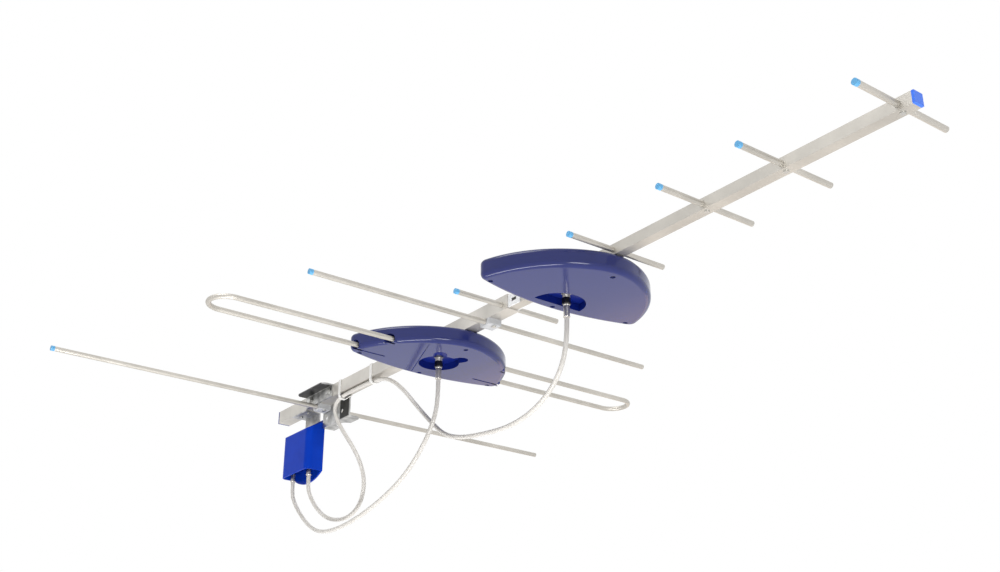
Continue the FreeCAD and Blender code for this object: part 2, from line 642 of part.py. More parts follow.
def lead_path(points):
    """Straight runs joined by tangent arcs, each as large as its runs allow."""
    edges = []
    radii = []
    last = points[0]
    for before, corner, after in zip(points, points[1:], points[2:]):
        back, ahead = before - corner, after - corner
        half_turn = (math.pi - back.getAngle(ahead)) / 2
        reach = 0.45 * min(back.Length, ahead.Length)
        radius = reach / math.tan(half_turn)
        radii.append(radius)
        start = corner + back.normalize() * reach
        end = corner + ahead.normalize() * reach
        inward = (back + ahead).normalize()
        middle = corner + inward * (radius / math.cos(half_turn) - radius)
        edges.append(Part.LineSegment(last, start).toShape())
        edges.append(Part.Arc(start, middle, end).toShape())
        last = end
    edges.append(Part.LineSegment(last, points[-1]).toShape())
    return Part.Wire(edges), radii


def lead(name, first, route, last):
    points = [first] + [Vector(*point) for point in route] + [last]
    path, radii = lead_path(points)
    profile = Part.Wire([Part.Circle(first, points[1] - first, size("lead_radius")).toShape()])
    tube = doc.addObject("Part::Feature", "Lead")
    tube.Shape = path.makePipeShell([profile], True, True)
    expected = math.pi * size("lead_radius") ** 2 * path.Length
    print(name, "length", round(path.Length, 1), "volume ratio", round(tube.Shape.Volume / expected, 4),
          "radii", [round(radius) for radius in radii])
    node(name, tube)


def leads():
    ends = {name: lead_end(x, seat) for name, x, seat in SOCKETS}
    lead("uhf_lead", ends["uhf_case"], UHF_ROUTE, ends["uhf_box"])
    lead("vhf_lead", ends["vhf_case"], VHF_ROUTE, ends["vhf_box"])


def strap_band(station, drop):
    """A strap pulled tight round the boom and the lead under its near side."""
    near = -size("mast_to_boom") - size("boom_size") / 2
    far = near + size("boom_size")
    top, low = size("boom_size") / 2, -size("boom_size") / 2
    gap = size("ease")
    foot = low - size(drop)
    corners = ((near - gap, top + gap), (far + gap, top + gap), (far + gap, low - gap),
               (near + size("tie_far_foot"), foot), (near + size("tie_near_foot"), foot),
               (near - gap, low - size("tie_near_drop")))
    start = size(station) - size("tie_width") / 2
    loop = doc.addObject("Part::Polygon", "Loop")
    loop.Nodes = [Vector(start, y, z) for y, z in corners]
    loop.Close = True
    wider = doc.addObject("Part::Offset2D", "Wider")
    wider.Source = loop
    bind(wider, {"Value": "tie_sheet"})
    return cut(strap_block(wider, "tie_width"), strap_block(loop, "tie_width"))


def strap_block(loop, length):
    block = doc.addObject("Part::Extrusion", "Block")
    block.Base = loop
    block.DirMode = "Custom"
    block.Dir = Vector(1, 0, 0)
    block.Solid = True
    bind(block, {"LengthFwd": length})
    return block


def lead_ties():
    """Straps that hold the long lead up against the boom, each with its square lock."""
    ties = []
    for station in ("front_tie", "rear_tie"):
        lock_y = f"{BOOM_Y} + boom_size / 2 + ease + tie_sheet / 2 + tie_head / 4"
        lock = box(station, lock_y, "0", "tie_head", "tie_head / 2 + tie_sheet", "tie_head")
        clear = box(station, BOOM_Y, "-boom_size", "2 * tie_head", "boom_size + 2 * ease", "2 * boom_size")
        ties.append(fuse(strap_band(station, f"{station}_drop"), cut(lock, clear)))
    node("lead_ties", group(*ties))


# Mast clamp

def lip(side, half, depth, z, bites=(), at="0"):
    """A flange of a clamp channel, standing out from the web on one side of the boom."""
    reach = f"(boom_size / 2 + channel_sheet / 2 + {depth} / 2)"
    plate = box(at, f"{BOOM_Y} + {side} * {reach}", z, f"2 * {half}", f"{depth} + channel_sheet",
                "channel_sheet")
    outer_y = size("boom_size") / 2 + size("channel_sheet")

    def outermost(edge):
        return upright(edge) and side * (edge.Vertexes[0].Point.y + size("mast_to_boom")) > outer_y

    soft = rounded(plate, size("lip_round"), outermost)
    return cut(soft, *bites) if bites else soft


def channel_web(side, half, bottom, height, at="0"):
    return box(at, f"{BOOM_Y} + {side} * (boom_size / 2 + channel_sheet / 2)", bottom, f"2 * {half}",
               "channel_sheet", height)


def clamp_bolt_holes():
    start = f"{BOOM_Y} - 2 * boom_size"
    return [cylinder(f"clamp_bolt_shift + {side} * clamp_bolt_reach", start, "0", "clamp_bolt_radius + ease",
                     "4 * boom_size", "Y") for side in (-1, 1)]


def mast_clamp():
    """Two pressed channels bolted through the boom; the far one has round bites for the mast."""
    bottom = "(-boom_size / 2 - mast_drop)"
    mast = cylinder("0", "0", "-5 * boom_size", "mast_radius", "10 * boom_size")
    lips = [lip(1, "mast_half", "mast_lip", z, [mast]) for z in ("boom_size / 2 - channel_sheet", bottom)]
    web = channel_web(1, "mast_half", bottom, "boom_size + mast_drop")
    holes = clamp_bolt_holes() + [rod_hole("reflector_station", ROD_Z, "2 * boom_size")]
    for side in (-1, 1):
        holes.append(cylinder(f"{side} * u_bolt_spacing / 2", BOOM_Y, "-u_bolt_drop", "u_bolt_hole",
                              "boom_size", "Y"))
    corner = box("-mast_half", f"{BOOM_Y} + boom_size", f"{bottom} - corner_clip / 2",
                 "corner_clip", "2 * boom_size", "2 * corner_clip")
    node("mast_channel", cut(fuse(web, *lips), corner, *holes))
    rim = lip(-1, "backing_half", "backing_lip", "boom_size / 2 - channel_sheet", at="backing_shift")
    web = channel_web(-1, "backing_half", "-boom_size / 2", "boom_size", "backing_shift")
    node("backing_channel", cut(fuse(web, rim), *clamp_bolt_holes()))
    near = f"({BOOM_Y} - boom_size / 2 - channel_sheet)"
    far = f"({BOOM_Y} + boom_size / 2 + channel_sheet)"
    bolts, nuts = [], []
    bolt_length = "boom_size + 2 * channel_sheet + nut_height + bolt_spare + 1"
    for side in (-1, 1):
        x = f"clamp_bolt_shift + {side} * clamp_bolt_reach"
        head = hexagon(x, f"{near} - bolt_head_height", "0", "bolt_head", "bolt_head_height", "Y")
        shank = cylinder(x, f"{near} - 1", "0", "clamp_bolt_radius", bolt_length, "Y")
        bolts.append(fuse(head, shank))
        nut = hexagon(x, far, "0", "bolt_head", "nut_height", "Y")
        thread = cylinder(x, f"{far} - 1", "0", "clamp_bolt_radius + slip", "nut_height + 2", "Y")
        nuts.append(cut(nut, thread))
    node("clamp_bolts", group(*bolts))
    node("clamp_nuts", group(*nuts))


# Combiner box

BOX_NEAR = "(-mast_to_boom - box_near)"
BOX_BACK = "(-mast_to_boom - box_near + box_depth)"


def box_wedge(inset, near, far, bottom, top):
    """The box body between two depths, with its roof sloping down to the near side."""
    thing = doc.addObject("Part::Wedge", "Roofed")
    half = f"(box_length / 2 - {inset})"
    bind(thing, {"Xmin": f"-{half}", "X2min": f"-{half}", "Xmax": half, "X2max": half,
                 "Ymin": near, "Ymax": far, "Zmin": bottom, "Z2min": bottom,
                 "Zmax": f"{top}", "Z2max": f"{top} + box_rise"})
    return place(thing, "box_station", "0", "0")


def box_cover():
    """A roofed cover whose walls run on below its floor as a skirt round the sockets."""
    wall_y = size_of(BOX_NEAR) + size("box_wall") + 1

    def near_corner(edge):
        return upright(edge) and edge.Vertexes[0].Point.y < wall_y

    outer = rounded(box_wedge("0", BOX_NEAR, BOX_BACK, "-box_bottom", "-box_top"), size("box_round"),
                    near_corner)
    inner_round = size("box_round") - size("box_wall")
    room = rounded(box_wedge("box_wall", f"{BOX_NEAR} + box_wall", f"{BOX_BACK} + 1", "-box_floor",
                             "-box_top - box_wall"), inner_round, near_corner)
    skirt = rounded(box("box_station", f"{BOX_NEAR} + box_wall + box_depth / 2", "-box_bottom - 1",
                        "box_length - 2 * box_wall", "box_depth",
                        "box_bottom + 1 - box_floor - box_wall"), inner_round, near_corner)
    drills = [cylinder(x, BOOM_Y, "-box_bottom", "socket_bore + slip", "box_bottom")
              for x in ("box_station", "box_station - box_socket_reach", "box_station + box_socket_reach")]
    node("box_cover", cut(outer, room, skirt, *drills))


def box_backplate():
    width = "box_length"
    low = "(box_bottom + box_tongue)"
    plate = box("box_station", f"{BOX_BACK} + box_back_sheet / 2", f"-{low}", width, "box_back_sheet",
                f"{low} - box_back_top")
    arc = "((box_length * box_length / 4 + box_tongue * box_tongue) / (2 * box_tongue))"
    disc = cylinder("box_station", BOX_BACK, f"-{low} + {arc}", arc, "box_back_sheet", "Y")
    holes = [cylinder("box_station", f"{BOX_BACK} - 1", z, "screw_radius + slip", "box_back_sheet + 2", "Y")
             for z in box_screw_levels()]
    node("box_backplate", cut(common(plate, disc), *holes))


def box_screw_levels():
    return ("-box_screw_top", "-box_screw_top - box_screw_gap")


BRACKET_FAR = "(-mast_to_boom - box_near + box_depth + box_back_sheet)"


def box_bracket():
    """An angle screwed under the boom; its long leg carries the box from behind."""
    near = "(-mast_to_boom - boom_size / 2)"
    foot_width = f"({BRACKET_FAR} + bracket_sheet - {near})"
    foot = box("box_station", f"{near} + {foot_width} / 2", "-boom_size / 2 - bracket_sheet",
               "2 * bracket_half", foot_width, "bracket_sheet")
    leg = box("box_station", f"{BRACKET_FAR} + bracket_sheet / 2", "-bracket_drop", "2 * bracket_half",
              "bracket_sheet", "bracket_drop - boom_size / 2")
    start = f"{BRACKET_FAR} - 1"
    holes = [cylinder("box_station", start, z, "screw_radius + ease", "bracket_sheet + 2", "Y")
             for z in box_screw_levels()]
    for side in (-1, 1):
        holes.append(cylinder(f"box_station + {side} * bracket_screw_reach", BOOM_Y, "-boom_size",
                              "screw_radius + ease", "boom_size"))
    node("box_bracket", cut(fuse(foot, leg), *holes))
    seat = "-boom_size / 2 - bracket_sheet"
    screws = [pan_screw(f"box_station + {side} * bracket_screw_reach", BOOM_Y, seat,
                        "bracket_sheet + boom_wall + screw_tip") for side in (-1, 1)]
    node("bracket_screws", group(*screws))
    reach = "bracket_sheet + box_back_sheet + 1"
    screws = [pan_screw("box_station", f"{BRACKET_FAR} + bracket_sheet", z, reach, "Y", -1)
              for z in box_screw_levels()]
    node("box_screws", group(*screws))


def box_board():
    plate = box("box_station", f"{BOX_BACK} - box_board_inset", "-box_floor",
                "box_length - 2 * box_wall - 1", "board_sheet", "box_board_height")
    node("box_board", plate)


def combiner_box():
    box_cover()
    box_backplate()
    box_bracket()
    box_board()


def check():
    doc.recompute()
    failed = [thing.Label for thing in doc.Objects if {"Invalid", "Error"} & set(thing.State)]
    failed += [thing.Label for thing in NODES if thing.Shape.isNull() or not thing.Shape.isValid()]
    if failed:
        raise SystemExit(f"failed: {failed}")


rear_boom()
front_boom()
boom_insert()
boom_cap("boom_front_cap", "nose_end", 1, NOSE_Z, "nose_size", "nose_wall")
boom_cap("boom_rear_cap", "(-boom_behind)", -1, "0", "boom_size", "boom_wall")
rod_elements()
rod_end_caps()
director_rivets()
rod_saddle("reflector_saddle", "reflector_station")
rod_saddle("director_saddle", "director_station")
saddle_screws()
opposite_loop(dipole_loop())
dipole_casings()
boards()
dipole_screws()
inner_dipole()
sockets_and_plugs()
leads()
lead_ties()
mast_clamp()
combiner_box()
check()
os.makedirs("parts", exist_ok=True)
for part in NODES:
    part.Shape.exportStep(f"parts/{part.Label}.step")
    print(part.Label, len(part.Shape.Solids), round(part.Shape.Volume))
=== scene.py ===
import math

import bpy
import numpy as np
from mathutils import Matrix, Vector


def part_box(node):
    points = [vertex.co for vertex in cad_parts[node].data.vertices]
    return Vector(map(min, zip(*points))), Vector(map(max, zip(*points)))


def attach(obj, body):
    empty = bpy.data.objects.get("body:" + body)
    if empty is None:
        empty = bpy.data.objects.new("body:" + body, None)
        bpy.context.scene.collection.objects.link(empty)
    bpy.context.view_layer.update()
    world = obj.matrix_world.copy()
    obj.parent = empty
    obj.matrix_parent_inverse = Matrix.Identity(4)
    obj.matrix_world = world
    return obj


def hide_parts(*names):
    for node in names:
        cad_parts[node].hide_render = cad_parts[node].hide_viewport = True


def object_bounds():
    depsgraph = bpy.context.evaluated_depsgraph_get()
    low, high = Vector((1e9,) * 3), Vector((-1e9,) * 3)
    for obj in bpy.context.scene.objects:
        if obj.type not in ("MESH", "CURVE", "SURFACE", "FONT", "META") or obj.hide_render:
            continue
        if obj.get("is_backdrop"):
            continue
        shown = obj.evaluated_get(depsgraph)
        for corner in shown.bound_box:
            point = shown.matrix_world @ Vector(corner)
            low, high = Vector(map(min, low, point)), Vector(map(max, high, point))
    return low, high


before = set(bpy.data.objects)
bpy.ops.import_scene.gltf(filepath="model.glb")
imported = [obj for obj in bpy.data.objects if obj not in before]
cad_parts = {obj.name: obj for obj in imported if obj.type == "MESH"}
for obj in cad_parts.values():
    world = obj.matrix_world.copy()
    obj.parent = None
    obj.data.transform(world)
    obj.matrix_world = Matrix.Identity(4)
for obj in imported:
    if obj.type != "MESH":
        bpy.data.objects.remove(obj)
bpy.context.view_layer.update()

# The boom: two square aluminium tubes, the narrow front one pushed into the wide rear one.
# They are drawn through a die, so fine lines run along them, and they carry a dull grey skin.


def finish(name, colour, roughness, metallic):
    """A material with one principled shader: its nodes, its links and that shader."""
    material = bpy.data.materials.new(name)
    material.use_nodes = True
    nodes, links = material.node_tree.nodes, material.node_tree.links
    shader = nodes["Principled BSDF"]
    shader.inputs["Base Color"].default_value = (*colour, 1)
    shader.inputs["Roughness"].default_value = roughness
    shader.inputs["Metallic"].default_value = metallic
    return material, nodes, links, shader


def grain(nodes, links, stretch, size, detail=3):
    """Noise on the object's own coordinates, squeezed or stretched along each axis."""
    place = nodes.new("ShaderNodeTexCoord")
    turn = nodes.new("ShaderNodeMapping")
    turn.inputs["Scale"].default_value = stretch
    noise = nodes.new("ShaderNodeTexNoise")
    noise.inputs["Scale"].default_value = size
    noise.inputs["Detail"].default_value = detail
    links.new(place.outputs["Object"], turn.inputs["Vector"])
    links.new(turn.outputs["Vector"], noise.inputs["Vector"])
    return noise.outputs["Fac"]


def spread(nodes, links, value, low, high):
    """The value from nought to one, carried to the range from low to high."""
    step = nodes.new("ShaderNodeMapRange")
    step.inputs["To Min"].default_value = low
    step.inputs["To Max"].default_value = high
    links.new(value, step.inputs["Value"])
    return step.outputs["Result"]


def tint(nodes, links, value, dark, light, shader):
    """The base colour runs from dark to light as the value rises."""
    ramp = nodes.new("ShaderNodeValToRGB")
    ramp.color_ramp.elements[0].position = 0.3
    ramp.color_ramp.elements[1].position = 0.7
    ramp.color_ramp.elements[0].color = (*dark, 1)
    ramp.color_ramp.elements[1].color = (*light, 1)
    links.new(value, ramp.inputs["Fac"])
    links.new(ramp.outputs["Color"], shader.inputs["Base Color"])


def relief(nodes, links, value, depth, shader):
    """A bump of the given depth in metres."""
    bump = nodes.new("ShaderNodeBump")
    bump.inputs["Strength"].default_value = 0.6
    bump.inputs["Distance"].default_value = depth
    links.new(value, bump.inputs["Height"])
    links.new(bump.outputs["Normal"], shader.inputs["Normal"])


def dress(material, *names):
    """The CAD nodes of these names take the material."""
    for name in names:
        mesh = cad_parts[name].data
        mesh.materials.clear()
        mesh.materials.append(material)


EVEN = (1, 1, 1)
ALONG_BOOM = (0.02, 1, 1)


def drawn_tube(name, stretch, dark, light):
    """Drawn aluminium: a warm grey metal with lines along the tube and faint dull patches."""
    material, nodes, links, shader = finish(name, light, roughness=0.42, metallic=0.8)
    lines = grain(nodes, links, stretch, size=900)
    patches = grain(nodes, links, EVEN, size=22)
    tint(nodes, links, patches, dark, light, shader)
    links.new(spread(nodes, links, lines, low=0.34, high=0.52), shader.inputs["Roughness"])
    relief(nodes, links, lines, depth=0.00006, shader=shader)
    return material


def shaded(material, limits, dark):
    """Painted shade: the colour is scaled down to dark where every limit is met, with a soft edge.

    A limit is an axis, an edge in metres and a sense: 1 shades below the edge, -1 above it.
    """
    nodes, links = material.node_tree.nodes, material.node_tree.links
    base = nodes["Principled BSDF"].inputs["Base Color"]
    place = nodes.new("ShaderNodeTexCoord")
    part = nodes.new("ShaderNodeSeparateXYZ")
    links.new(place.outputs["Object"], part.inputs["Vector"])
    blur = 0.0005
    light = None
    for axis, edge, sense in limits:
        fade = nodes.new("ShaderNodeMapRange")
        fade.inputs["From Min"].default_value = edge - sense * blur
        fade.inputs["From Max"].default_value = edge + sense * blur
        fade.inputs["To Min"].default_value = dark
        links.new(part.outputs[axis], fade.inputs["Value"])
        if light:
            larger = nodes.new("ShaderNodeMath")
            larger.operation = "MAXIMUM"
            links.new(light, larger.inputs[0])
            links.new(fade.outputs["Result"], larger.inputs[1])
            light = larger.outputs["Value"]
        else:
            light = fade.outputs["Result"]
    shade = nodes.new("ShaderNodeVectorMath")
    shade.operation = "SCALE"
    links.new(base.links[0].from_socket, shade.inputs[0])
    links.new(light, shade.inputs["Scale"])
    links.new(shade.outputs["Vector"], base)


dress(drawn_tube("rear_boom_tube", ALONG_BOOM, dark=(0.53, 0.51, 0.475), light=(0.67, 0.645, 0.6)),
      "rear_boom")
front_tube = drawn_tube("front_boom_tube", ALONG_BOOM,
                        dark=(0.485, 0.465, 0.428), light=(0.59, 0.565, 0.518))
# Painted shade: inside the liner's mouth and above its lowest face, the front tube's colour is scaled
# dark, for the shade behind the liner's window.
MOUTH_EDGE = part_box("boom_insert")[1][0]
MOUTH_SILL = -0.008
shaded(front_tube, [("X", MOUTH_EDGE, 1), ("Z", MOUTH_SILL, -1)], dark=0.12)
dress(front_tube, "front_boom")

# The liner that packs the narrow tube in the wide one, and the plugs in the open tube ends.
# All are moulded plastic pushed into the tubes: the liner milky white, the plugs blue.

liner, nodes, links, shader = finish("liner_plastic", (0.78, 0.79, 0.81), roughness=0.4, metallic=0)
relief(nodes, links, grain(nodes, links, EVEN, size=700), depth=0.00003, shader=shader)
shader.inputs["Subsurface Weight"].default_value = 0.15
shader.inputs["Subsurface Radius"].default_value = (0.002, 0.002, 0.002)
dress(liner, "boom_insert")


def moulded(name, dark, light, roughness):
    """Moulded plastic with a fine spark-eroded skin and slight flow marks in its colour."""
    material, nodes, links, shader = finish(name, light, roughness, metallic=0)
    tint(nodes, links, grain(nodes, links, EVEN, size=40), dark, light, shader)
    skin = grain(nodes, links, EVEN, size=1500)
    links.new(spread(nodes, links, skin, roughness - 0.05, roughness + 0.05), shader.inputs["Roughness"])
    relief(nodes, links, skin, depth=0.00002, shader=shader)
    return material


dress(moulded("front_plug_plastic", dark=(0.025, 0.14, 0.78), light=(0.03, 0.17, 0.86), roughness=0.3),
      "boom_front_cap")
dress(moulded("rear_plug_plastic", dark=(0.02, 0.03, 0.22), light=(0.025, 0.04, 0.26), roughness=0.35),
      "boom_rear_cap")

# The rod elements: round aluminium tubes across the boom, with the same drawn skin.
# Short ones pass through the front boom, the two long ones hang in cradles under the rear boom.
# The bent halves of the loop and the stamped dipole in the front casing are of the same metal.

ACROSS_BOOM = (1, 0.02, 1)
dress(drawn_tube("rod_tube", ACROSS_BOOM, dark=(0.49, 0.467, 0.425), light=(0.605, 0.577, 0.53)),
      "uhf_director_first", "uhf_director_second", "uhf_director_third", "uhf_director_fourth",
      "uhf_reflector", "vhf_director", "vhf_reflector", "dipole_left_loop", "dipole_right_loop",
      "uhf_dipole")

# The caps on the near rod ends: soft light blue plastic.
# Each is moulded as a short cup and pushed over the end of its tube.

dress(moulded("rod_cap_plastic", dark=(0.1, 0.37, 0.67), light=(0.13, 0.42, 0.73), roughness=0.4),
      "rod_end_caps")

# The cradles of the two long rods: blocks under the rear boom, moulded in grey plastic.
# Each holds its rod in a groove against the boom, and one screw beside the rod draws it up.

dress(moulded("cradle_plastic", dark=(0.42, 0.43, 0.45), light=(0.5, 0.51, 0.53), roughness=0.4),
      "reflector_saddle", "director_saddle")

# Rivets, screws, bolts and nuts: steel, turned or rolled and then zinc plated.
# The plating is bright but mottled; the screws of the casings are painted darker, as painted shade in
# their holes.


def plated(name, colour, smooth, rough, spangles, shade=0.85):
    """Plate: a bright metal whose shine and colour vary in spangles."""
    material, nodes, links, shader = finish(name, colour, smooth, metallic=1)
    flake = grain(nodes, links, EVEN, spangles)
    tint(nodes, links, flake, tuple(shade * part for part in colour), colour, shader)
    links.new(spread(nodes, links, flake, smooth, rough), shader.inputs["Roughness"])
    relief(nodes, links, flake, depth=0.00004, shader=shader)
    return material


BRIGHT_ZINC = (0.62, 0.62, 0.6)
PAINTED_SHADE_STEEL = (0.2, 0.2, 0.22)
dress(plated("fixing_zinc", BRIGHT_ZINC, smooth=0.22, rough=0.4, spangles=500),
      "director_rivets", "saddle_screws", "case_boom_screws", "dipole_screws", "clamp_bolts",
      "clamp_nuts", "bracket_screws", "box_screws")
# Painted shade: the casing screws take a dark steel colour for the shade in their holes.
dress(plated("case_screw_steel", PAINTED_SHADE_STEEL, smooth=0.3, rough=0.45, spangles=500), "case_screws")

# The two dipole casings: a lower cover and an upper lid each, moulded in glossy deep blue.
# The skin is polished in the mould, with a slight waviness that shows in its reflections.
# Screws hold cover and lid together, and each casing to the boom.


def near_axis(nodes, links, axis, radius, level):
    """One inside the upright cylinder round an axis and above a level, nought outside it."""
    place = nodes.new("ShaderNodeTexCoord")
    part = nodes.new("ShaderNodeSeparateXYZ")
    links.new(place.outputs["Object"], part.inputs["Vector"])
    flat = nodes.new("ShaderNodeCombineXYZ")
    links.new(part.outputs["X"], flat.inputs["X"])
    links.new(part.outputs["Y"], flat.inputs["Y"])
    reach = nodes.new("ShaderNodeVectorMath")
    reach.operation = "DISTANCE"
    reach.inputs[1].default_value = (*axis, 0)
    links.new(flat.outputs["Vector"], reach.inputs[0])
    inside = nodes.new("ShaderNodeMath")
    inside.operation = "LESS_THAN"
    inside.inputs[1].default_value = radius
    links.new(reach.outputs["Value"], inside.inputs[0])
    above = nodes.new("ShaderNodeMath")
    above.operation = "GREATER_THAN"
    above.inputs[1].default_value = level
    links.new(part.outputs["Z"], above.inputs[0])
    both = nodes.new("ShaderNodeMath")
    both.operation = "MULTIPLY"
    links.new(inside.outputs["Value"], both.inputs[0])
    links.new(above.outputs["Value"], both.inputs[1])
    return both.outputs["Value"]


CASE_BLUE, CASE_ROUGHNESS, CASE_SHEEN = (0.013, 0.02, 0.125), 0.12, 0.42
# Painted shade: the recess round each socket takes its own purer blue with less sheen, standing in for the
# shade in the pocket.
RECESS_PAINTED_SHADE_BLUE, RECESS_ROUGHNESS, RECESS_SHEEN = (0.004, 0.013, 0.16), 0.35, 0.2
RECESS_REACH = 0.052
FLAT_HEIGHT = 0.0003


def lid_plastic(name):
    """Deep blue gloss with a slow wave in the skin."""
    material, nodes, links, shader = finish(name, CASE_BLUE, CASE_ROUGHNESS, metallic=0)
    shader.inputs["Specular IOR Level"].default_value = CASE_SHEEN
    relief(nodes, links, grain(nodes, links, EVEN, size=60, detail=2), depth=0.00005, shader=shader)
    return material


def cover_plastic(name, axis):
    """The lids' gloss, but matt, with less sheen and a purer blue round the socket's axis above the
    cover's lowest flat: painted shade in the recess, brighter in blue and darker in red and green.
    """
    material = lid_plastic(f"{name}_cover_plastic")
    nodes, links = material.node_tree.nodes, material.node_tree.links
    shader = nodes["Principled BSDF"]
    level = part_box(f"{name}_cover")[0][2] + FLAT_HEIGHT
    recess = near_axis(nodes, links, axis, RECESS_REACH, level)
    skin = nodes.new("ShaderNodeMix")
    skin.data_type = "RGBA"
    skin.inputs[6].default_value = (*CASE_BLUE, 1)
    skin.inputs[7].default_value = (*RECESS_PAINTED_SHADE_BLUE, 1)
    links.new(recess, skin.inputs[0])
    links.new(skin.outputs[2], shader.inputs["Base Color"])
    links.new(spread(nodes, links, recess, CASE_ROUGHNESS, RECESS_ROUGHNESS), shader.inputs["Roughness"])
    links.new(spread(nodes, links, recess, CASE_SHEEN, RECESS_SHEEN), shader.inputs["Specular IOR Level"])
    return material


UHF_AXIS, VHF_AXIS = (0.574, -0.035), (0.3, -0.035)
dress(cover_plastic("uhf_case", UHF_AXIS), "uhf_case_cover")
dress(cover_plastic("vhf_case", VHF_AXIS), "vhf_case_cover")
dress(lid_plastic("lid_plastic"), "uhf_case_base", "vhf_case_base")

# The boards behind the sockets: green glass-fibre laminate, cut from flat sheet.
# They lie hidden in the two casings and in the box.

dress(moulded("board_laminate", dark=(0.02, 0.10, 0.04), light=(0.03, 0.14, 0.06), roughness=0.5),
      "uhf_balun_board", "vhf_balun_board", "box_board")

# The coaxial sockets and plugs: turned brass, nickel plated. Each plug's nut screws onto its socket.
# The nuts are coloured dark and the sleeves behind them bright.

dress(plated("socket_nickel", (0.42, 0.41, 0.39), smooth=0.25, rough=0.4, spangles=900),
      "uhf_case_socket", "vhf_case_socket", "uhf_box_socket", "vhf_box_socket", "output_socket")


def banded(material, axis, levels, colours):
    """Two colours along one axis of the object, parted at the middle one of three levels in metres."""
    nodes, links = material.node_tree.nodes, material.node_tree.links
    place = nodes.new("ShaderNodeTexCoord")
    part = nodes.new("ShaderNodeSeparateXYZ")
    links.new(place.outputs["Object"], part.inputs["Vector"])
    reach = nodes.new("ShaderNodeMapRange")
    reach.inputs["From Min"].default_value = levels[0]
    reach.inputs["From Max"].default_value = levels[-1]
    links.new(part.outputs[axis], reach.inputs["Value"])
    ramp = nodes.new("ShaderNodeValToRGB")
    ramp.color_ramp.interpolation = "CONSTANT"
    ramp.color_ramp.elements[0].color = (*colours[0], 1)
    ramp.color_ramp.elements[1].position = (levels[1] - levels[0]) / (levels[-1] - levels[0])
    ramp.color_ramp.elements[1].color = (*colours[1], 1)
    links.new(reach.outputs["Result"], ramp.inputs["Fac"])
    links.new(ramp.outputs["Color"], nodes["Principled BSDF"].inputs["Base Color"])


PLUGS = ("uhf_case_plug", "vhf_case_plug", "uhf_box_plug", "vhf_box_plug")
NICKEL = (0.5, 0.48, 0.45)
SLEEVE_NICKEL, NUT_NICKEL = (0.6, 0.57, 0.52), (0.1, 0.095, 0.09)
NUT_LENGTH = 0.008
BAND_REACH = 0.05
for name in PLUGS:
    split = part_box(name)[1][2] - NUT_LENGTH
    brass = plated(f"{name}_nickel", NICKEL, smooth=0.25, rough=0.4, spangles=900)
    banded(brass, "Z", (split - BAND_REACH, split, split + BAND_REACH), (SLEEVE_NICKEL, NUT_NICKEL))
    dress(brass, name)

# The thread on each socket's barrel: rolled in the nickel-plated brass, from the flange to the plug's
# nut or, on the bare output socket, to the end of the barrel.


def surface(name, points, material):
    """A smooth closed skin through a grid of points: each row is a ring, and the last meets the first."""
    spot = np.arange(points.shape[0] * points.shape[1]).reshape(points.shape[:2])
    beside, above = np.roll(spot, -1, axis=1), np.roll(spot, -1, axis=0)
    faces = np.stack([spot, beside, np.roll(beside, -1, axis=0), above], axis=-1).reshape(-1, 4)
    mesh = bpy.data.meshes.new(name)
    mesh.from_pydata(points.reshape(-1, 3), [], faces)
    mesh.polygons.foreach_set("use_smooth", np.ones(len(faces), dtype=bool))
    mesh.materials.append(material)
    piece = bpy.data.objects.new(name, mesh)
    bpy.context.scene.collection.objects.link(piece)
    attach(piece, "root")


ROWS_A_PITCH, POINTS_A_TURN = 8, 48


def thread(foot, axis, length, root, height, pitch):
    """Points of a rolled thread on a shaft along one axis, from its foot.

    The radius is the root plus half the height times one plus the cosine of the turns so far less the
    angle; the height fades to nought over the first and last pitch. The end rows lie inside the shaft.
    """
    rise = np.linspace(0, length, round(ROWS_A_PITCH * length / pitch) + 1)
    along, angle = np.meshgrid(np.concatenate([[0], rise, [length]]),
                               np.linspace(0, 2 * math.pi, POINTS_A_TURN, endpoint=False), indexing="ij")
    fade = np.clip(np.minimum(along, length - along) / pitch, 0, 1)
    radius = root + fade * height * (1 + np.cos(2 * math.pi * along / pitch - angle)) / 2
    radius[[0, -1]] = root - height
    upright = np.stack([radius * np.cos(angle), radius * np.sin(angle), along], axis=-1)
    return np.array(foot) + np.roll(upright, axis - 2, axis=-1)


BARREL_RADIUS, BARREL_LENGTH, FLANGE_SHEET = 0.0047, 0.014, 0.002
BARREL_THREAD, BARREL_PITCH = 0.00025, 0.0008
thread_nickel = plated("thread_nickel", NICKEL, smooth=0.25, rough=0.4, spangles=900)
for name in ("uhf_case", "vhf_case", "uhf_box", "vhf_box", "output"):
    low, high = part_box(f"{name}_socket")
    foot = low[2] if name == "output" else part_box(f"{name}_plug")[1][2]
    top = low[2] + BARREL_LENGTH - FLANGE_SHEET
    places = thread(((low[0] + high[0]) / 2, (low[1] + high[1]) / 2, foot), 2, top - foot,
                    BARREL_RADIUS, BARREL_THREAD, BARREL_PITCH)
    surface(f"{name}_socket_thread", places, thread_nickel)

# The crimp rings of the plugs: bright beads of the same nickel-plated brass.
# A tool presses two into each sleeve, one below the nut and one at the lead's mouth.

RING_ROWS, RING_POINTS = 9, 40


def ring(centre, level, inner, outer, width):
    """Points of a bead round an upright axis: half an ellipse carried round it.

    The radius is the inner one plus the bulge to the outer one times the sine of the bend, and the
    height is the level less half the width times the cosine of the bend.
    """
    bend, angle = np.meshgrid(np.linspace(0, math.pi, RING_ROWS),
                              np.linspace(0, 2 * math.pi, RING_POINTS, endpoint=False), indexing="ij")
    radius = inner + (outer - inner) * np.sin(bend)
    height = level - np.cos(bend) * width / 2
    across, along = radius * np.cos(angle), radius * np.sin(angle)
    return np.stack([centre[0] + across, centre[1] + along, height], axis=-1)


